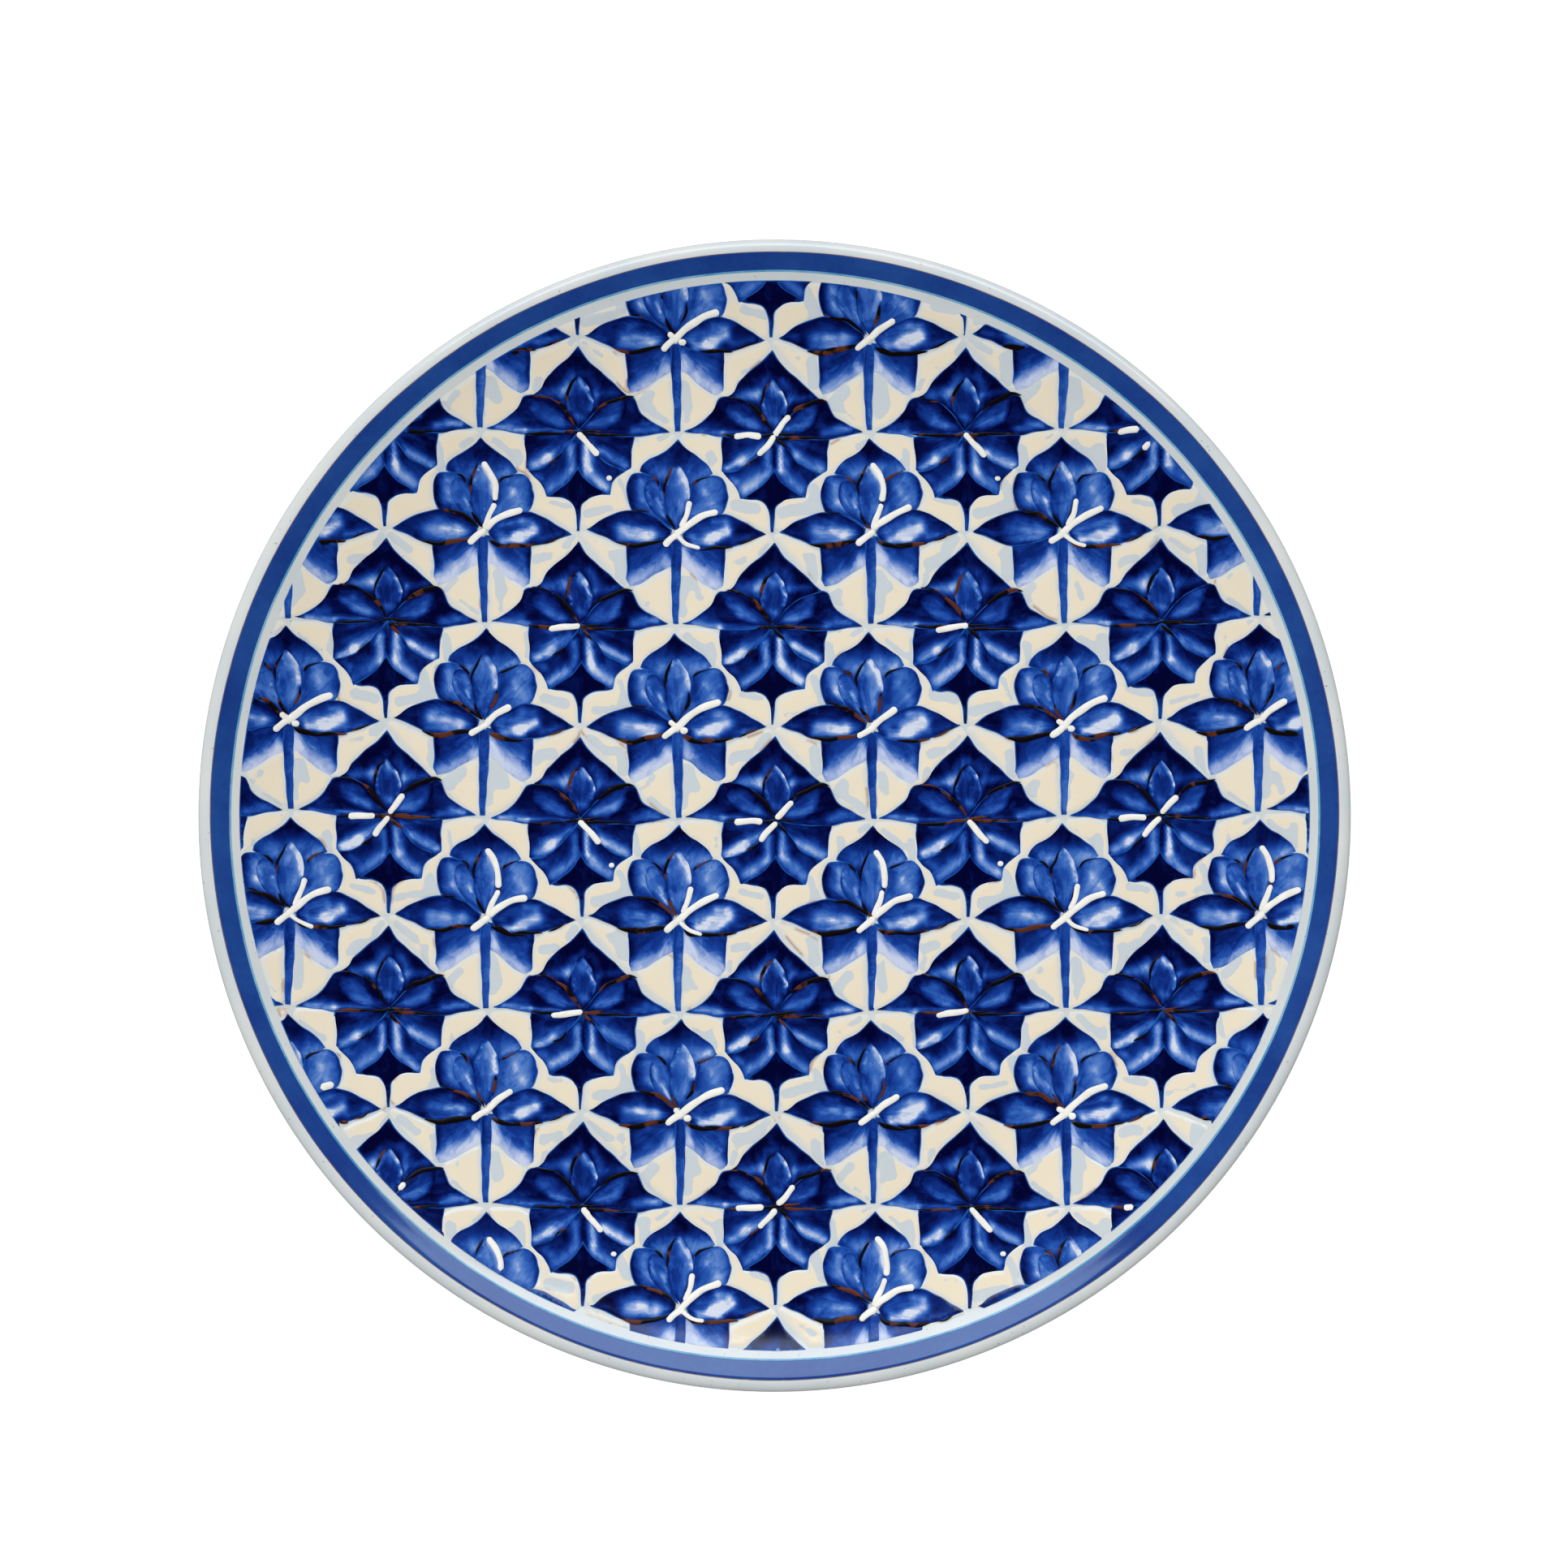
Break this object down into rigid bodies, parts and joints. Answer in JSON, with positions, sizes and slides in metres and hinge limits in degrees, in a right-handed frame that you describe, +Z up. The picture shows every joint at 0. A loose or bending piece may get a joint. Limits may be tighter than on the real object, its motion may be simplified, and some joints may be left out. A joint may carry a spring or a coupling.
{
  "type": "decorative plate",
  "caption": "Round coupe plate of turned ceramic with a dished rim, a foot ring and a hand painted pattern of blue flowers.",
  "frame": {"origin": "centre of the ring on which the plate stands, on its resting plane", "axes": "+Z up along the axis on which the plate was turned, +Y towards the tops of the painted flowers"},
  "size_m": [0.27, 0.27, 0.0209],
  "materials": {
    "bare_clay": "fired buff clay left bare on the foot, dry and slightly rough",
    "white_glaze": "opaque white glaze, glossy",
    "band_blue": "cobalt blue brushed band under glaze, glossy",
    "pale_blue": "thin pale blue bleed of cobalt at the band's edge",
    "brown_line": "dark brown oxide line, glossy",
    "cobalt_deep": "deep cobalt paint under glaze, glossy, nearly black blue",
    "cobalt_wash": "middle cobalt wash brushed from pale to deep, glossy",
    "lavender_wash": "pale lavender cobalt wash, glossy",
    "cream_enamel": "raised cream enamel, glossy",
    "white_enamel": "raised white enamel trails and dots, glossy"
  },
  "bodies": {
    "root": {"clay_body": "bare_clay", "foot_ring": "bare_clay", "face_glaze": "white_glaze", "back_glaze": "white_glaze", "foot_well_glaze": "white_glaze", "rim_band": "band_blue", "pale_line": "pale_blue", "rim_hairline": "brown_line", "lily_crowns": "cobalt_deep", "lily_hoods": "cobalt_wash", "lily_stems": "cobalt_deep", "lily_round_petals": "cobalt_wash", "lily_leaves": "cobalt_deep", "lily_skirts": "lavender_wash", "kite_enamel": "cream_enamel", "ground_enamel": "cream_enamel", "star_top_petals": "cobalt_deep", "star_hoods": "cobalt_wash", "star_side_leaves": "cobalt_deep", "star_corners": "cobalt_wash", "star_tails": "cobalt_deep", "white_trails": "white_enamel", "white_dots": "white_enamel", "lily_lines": "brown_line", "star_lines": "brown_line"}
  },
  "joints": []
}
